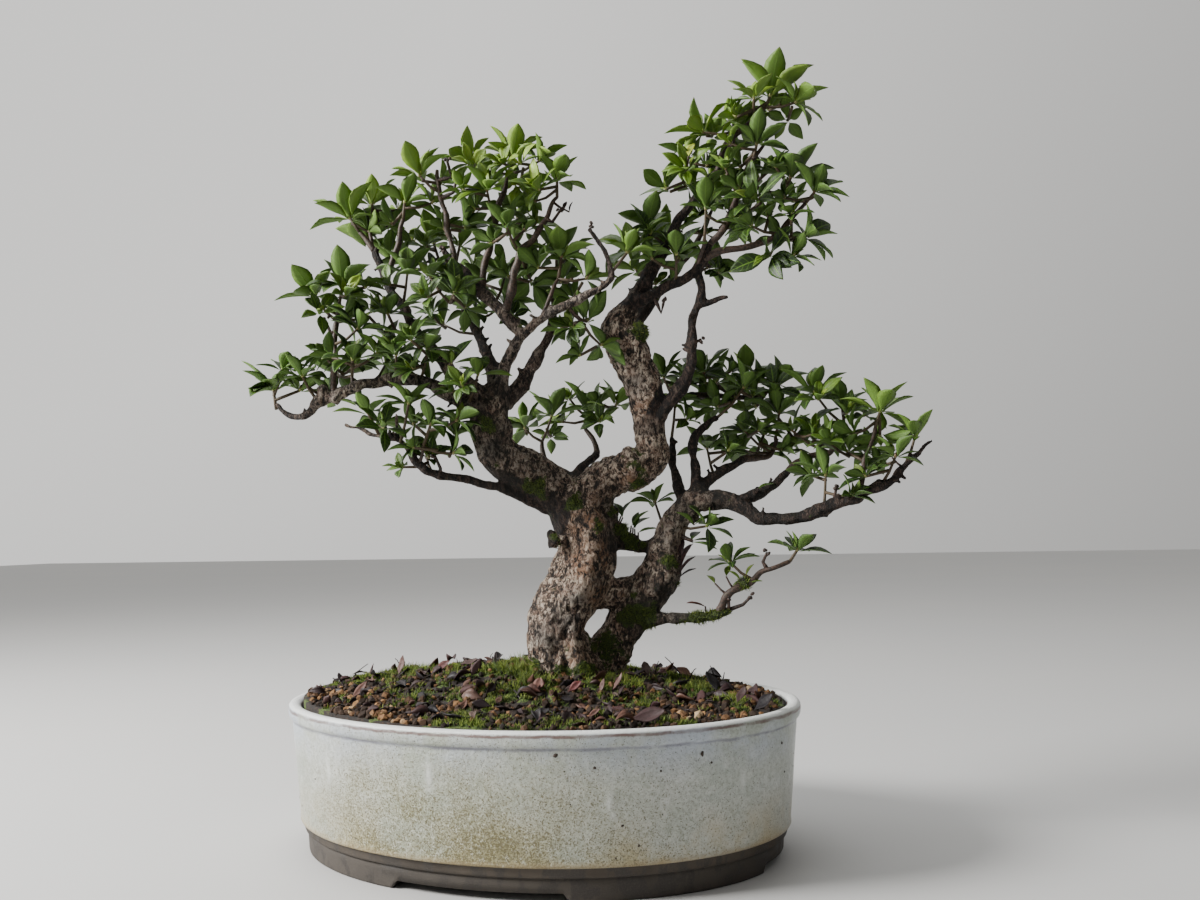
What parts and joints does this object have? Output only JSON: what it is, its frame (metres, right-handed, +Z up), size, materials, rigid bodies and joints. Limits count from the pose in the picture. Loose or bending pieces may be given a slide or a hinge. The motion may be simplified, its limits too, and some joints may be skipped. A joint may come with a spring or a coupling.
{
  "type": "potted satsuki azalea bonsai",
  "caption": "Informal upright azalea bonsai with a forked mossy trunk and leafy sprays, in an oval glazed pot that stands on a table or shelf.",
  "frame": {"origin": "middle of the whole part's footprint box, on the surface that the pot's four feet stand on", "axes": "+X along the pot's long axis towards its right end as seen from the front, +Z up, -Y towards the front; the tree's own front looks about 16 degrees to the left of the pot's front"},
  "size_m": [0.388, 0.22, 0.4561],
  "materials": {
    "glazed_stoneware": "gloss",
    "mesh_plastic": "matte",
    "bonsai_soil": "matte",
    "bark": "matte",
    "foliage": "satin"
  },
  "bodies": {
    "root": {"pot": "glazed_stoneware", "drain_screen_left": "mesh_plastic", "drain_screen_right": "mesh_plastic", "soil": "bonsai_soil", "wood": "bark", "spray_apex": "foliage", "spray_apex_left": "foliage", "spray_peak_right": "foliage", "spray_right_arm": "foliage", "spray_crown_right_front": "foliage", "spray_apex_low": "foliage", "spray_crown_right_inner": "foliage", "spray_rear_right_top": "foliage", "spray_rear_right_low": "foliage", "spray_rear_right_side": "foliage", "spray_outer_left_tip": "foliage", "spray_outer_left_fork": "foliage", "spray_outer_left_low": "foliage", "spray_crown_left_low": "foliage", "spray_crown_left_tip": "foliage", "spray_crown_mid": "foliage", "spray_crown_fork": "foliage", "spray_centre_bright": "foliage", "spray_centre_low": "foliage", "spray_centre_dark": "foliage", "spray_centre_dark_left": "foliage", "spray_long_shoot_end": "foliage", "spray_rear_left_top": "foliage", "spray_rear_left_low": "foliage", "spray_rear_left_side": "foliage", "spray_arm_left_tip": "foliage", "spray_arm_left_knee": "foliage", "spray_riser_left": "foliage", "spray_arm_left_mid": "foliage", "spray_arm_left_bright": "foliage", "spray_arm_left_inner": "foliage", "spray_arm_left_root": "foliage", "spray_arm_left_first": "foliage", "spray_arm_left_rear": "foliage", "spray_low_left_first": "foliage", "spray_low_left_second": "foliage", "spray_low_left_third": "foliage", "spray_low_left_rear": "foliage", "spray_back_right_leaves": "foliage", "spray_back_left_leaves": "foliage", "spray_trunk_gap_leaves": "foliage", "spray_long_arm_riser": "foliage", "spray_long_arm_knee": "foliage", "spray_long_arm_end": "foliage", "spray_long_arm_low": "foliage", "spray_mid_arm_end": "foliage", "spray_inner_arm_end": "foliage", "spray_inner_arm_side": "foliage", "spray_inner_riser_end": "foliage", "spray_thin_riser_end": "foliage", "spray_rear_arm_first": "foliage", "spray_rear_arm_end": "foliage", "spray_low_right_shoot": "foliage", "spray_trunk_side_leaves": "foliage"}
  },
  "joints": []
}
